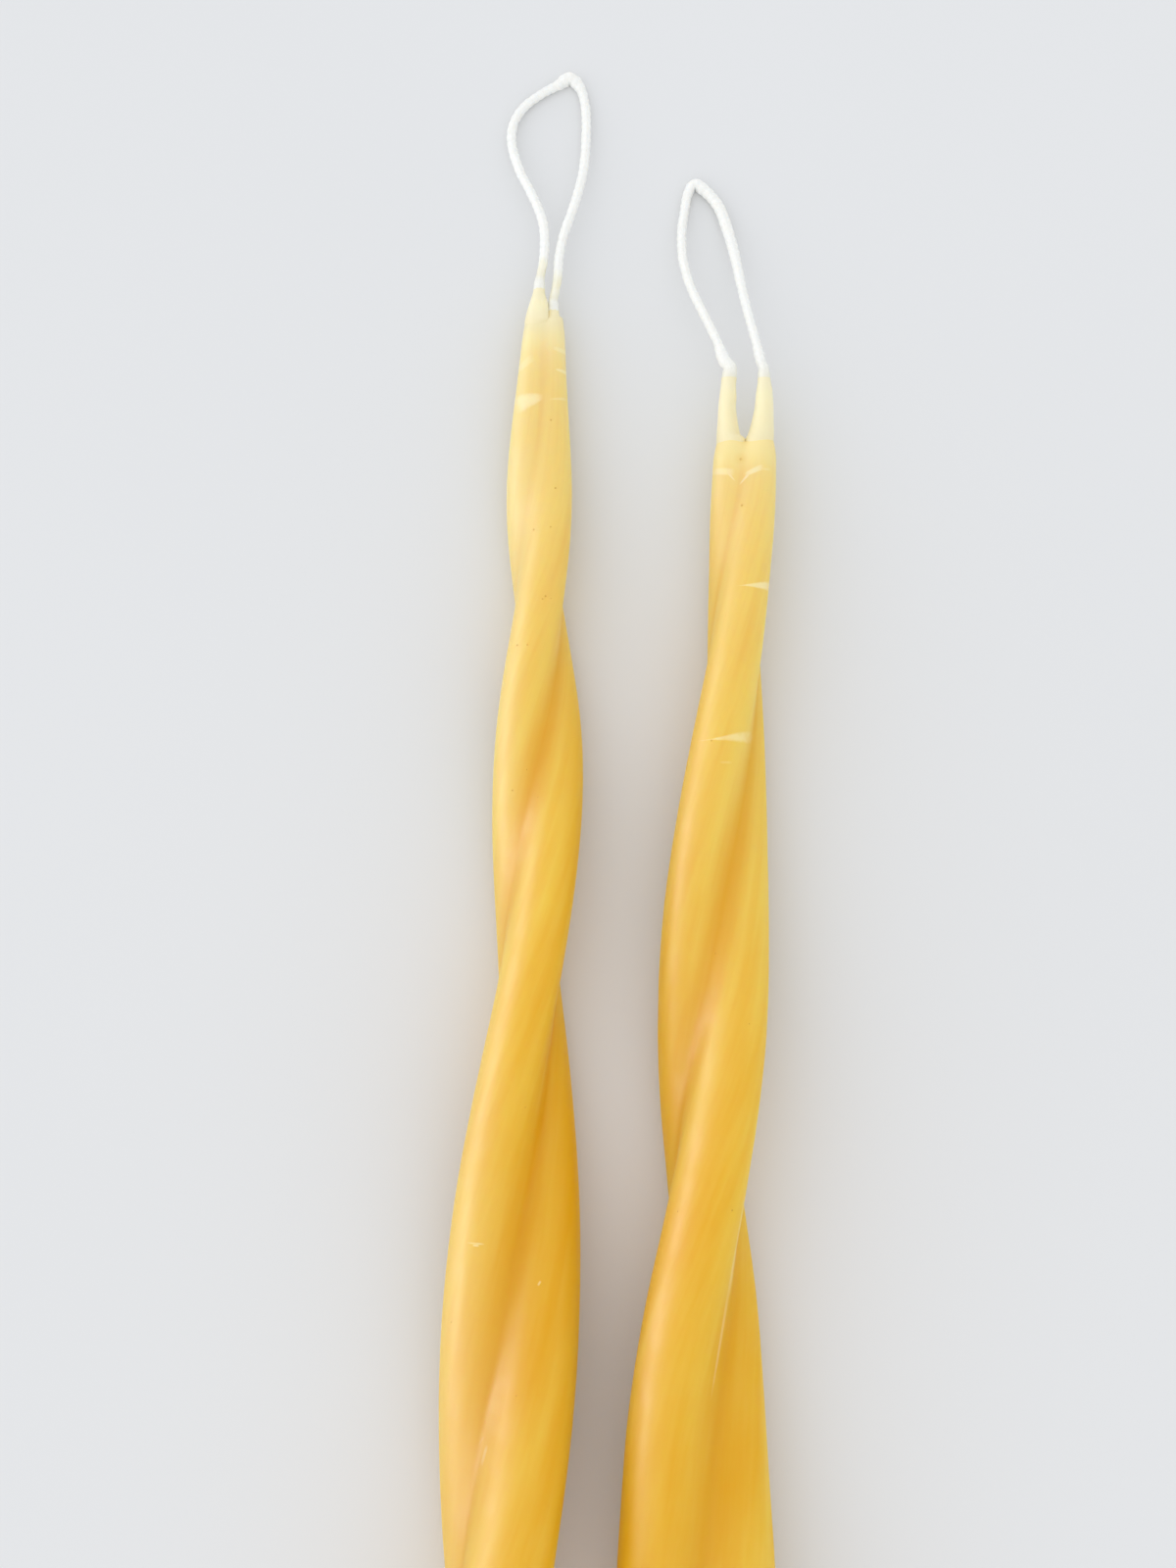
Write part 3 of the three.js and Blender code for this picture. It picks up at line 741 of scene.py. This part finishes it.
def waxed_cotton(name):
    """White braided cotton soaked in wax, cream where the dips have run up it."""
    n = Nodes(name)
    flow = n.attribute("flow", "Vector")
    waxed = n.attribute("waxed")
    place = n.add("ShaderNodeTexCoord").outputs["Object"]
    fibre = n.noise(n.stretched(flow, (1.0, 1.0, 0.9)), 7.0, 4, 0.65)
    fluff = n.noise(place, 2600.0, 3, 0.6)
    cotton = n.ramp(fibre, [(0.3, (0.86, 0.85, 0.79)), (0.6, (0.98, 0.98, 0.93))])
    film = n.ramp(n.noise(place, 420.0, 3, 0.5), [(0.35, (0.88, 0.84, 0.66)), (0.65, (0.90, 0.87, 0.74))])
    colour = n.mix(waxed, cotton, film)
    height = n.math("ADD", n.math("MULTIPLY", fibre, 0.8), n.math("MULTIPLY", fluff, 0.5))
    normal = n.bump(height, 0.00016, 0.8)
    rough = n.between(waxed, 0.0, 1.0, 0.62, 0.42)
    return n.finish(Base_Color=colour, Roughness=rough, Normal=normal, IOR=1.44,
                    Subsurface_Weight=n.attribute("glow"), Subsurface_Radius=(1.0, 0.95, 0.9),
                    Subsurface_Scale=0.0012)


def table_top(name):
    n = Nodes(name)
    place = n.add("ShaderNodeTexCoord").outputs["Object"]
    shade = n.ramp(n.noise(place, 3.0, 3, 0.5), [(0.3, (0.770, 0.775, 0.785)), (0.7, (0.785, 0.79, 0.80))])
    return n.finish(Base_Color=shade, Roughness=1.0, Specular_IOR_Level=0.0)


# Camera, light and table

def photo_camera():
    """The photograph's view: nearly straight down, from 3 degrees on the butts' side."""
    aim_x, aim_y, distance = -0.003494, 0.0578, 0.5
    tilt = math.radians(3)
    data = bpy.data.cameras.new("photo_camera")
    data.lens = 54
    data.sensor_width = 36
    camera = bpy.data.objects.new("photo_camera", data)
    camera.location = (aim_x, aim_y - distance * math.sin(tilt), distance * math.cos(tilt))
    camera.rotation_euler = (tilt, 0, 0)
    bpy.context.scene.collection.objects.link(camera)
    bpy.context.scene.camera = camera


def low_sheen(place, size, power):
    """A long low lamp that looks at the middle of the candles and lights gloss only: the wax's satin line."""
    aim = Vector((0, 0.03, 0))
    data = bpy.data.lights.new("low_sheen", "AREA")
    data.shape = "RECTANGLE"
    data.size, data.size_y = size
    data.energy = power
    lamp = bpy.data.objects.new("low_sheen", data)
    lamp.visible_diffuse = False
    lamp.visible_camera = False
    lamp.location = place
    lamp.rotation_euler = (Vector(place) - aim).to_track_quat("Z", "Y").to_euler()
    bpy.context.scene.collection.objects.link(lamp)


def room_light(dim, bright, colour, background):
    """A pale room that is brighter on the left, and a plain background for the camera alone."""
    world = bpy.data.worlds.new("studio")
    bpy.context.scene.world = world
    world.use_nodes = True
    nodes, links = world.node_tree.nodes, world.node_tree.links
    nodes.clear()
    light = nodes.new("ShaderNodeBackground")
    light.inputs["Color"].default_value = (*colour, 1)
    side = nodes.new("ShaderNodeVectorMath")
    side.operation = "DOT_PRODUCT"
    side.inputs[1].default_value = (-0.97, 0.24, 0)  # towards the bright side
    links.new(nodes.new("ShaderNodeTexCoord").outputs["Generated"], side.inputs[0])
    level = nodes.new("ShaderNodeMapRange")
    for socket, value in ((1, -1), (2, 1), (3, dim), (4, bright)):
        level.inputs[socket].default_value = value
    links.new(side.outputs["Value"], level.inputs[0])
    links.new(level.outputs[0], light.inputs["Strength"])
    seen = nodes.new("ShaderNodeBackground")
    seen.inputs["Color"].default_value = (*background, 1)
    path = nodes.new("ShaderNodeLightPath")
    mix = nodes.new("ShaderNodeMixShader")
    output = nodes.new("ShaderNodeOutputWorld")
    links.new(path.outputs["Is Camera Ray"], mix.inputs[0])
    links.new(light.outputs[0], mix.inputs[1])
    links.new(seen.outputs[0], mix.inputs[2])
    links.new(mix.outputs[0], output.inputs["Surface"])


def table():
    """A flat pale table top of 8 m, just under the candles."""
    half, height, cells = 4000.0, -0.02, 8
    line = np.linspace(-half, half, cells + 1)
    points = [(x, y, height) for y in line for x in line]
    corners = [j * (cells + 1) + i for j in range(cells) for i in range(cells)]
    faces = [(k, k + 1, k + cells + 2, k + cells + 1) for k in corners]
    top = build("table_top", points, faces)
    top.data.materials.append(table_top("pale_table"))


bpy.context.scene.view_settings.view_transform = "Standard"
photo_camera()
low_sheen(place=(-1.2, 0.1, 0.30), size=(1.4, 0.5), power=38)
room_light(dim=0.87, bright=1.20, colour=(0.97, 0.985, 1.0), background=(0.775, 0.793, 0.815))
table()

coat_wax = beeswax("coat_beeswax", True)
core_wax = beeswax("core_beeswax", False)
cotton = waxed_cotton("waxed_cotton")

for pair in (LEFT, RIGHT):
    wick_bight(pair).data.materials.append(cotton)
    for which in (0, 1):
        wick_leg(pair, which).data.materials.append(cotton)
        dipped_taper(pair, which).data.materials.append(core_wax)
    coat_of_wax(pair).data.materials.append(coat_wax)
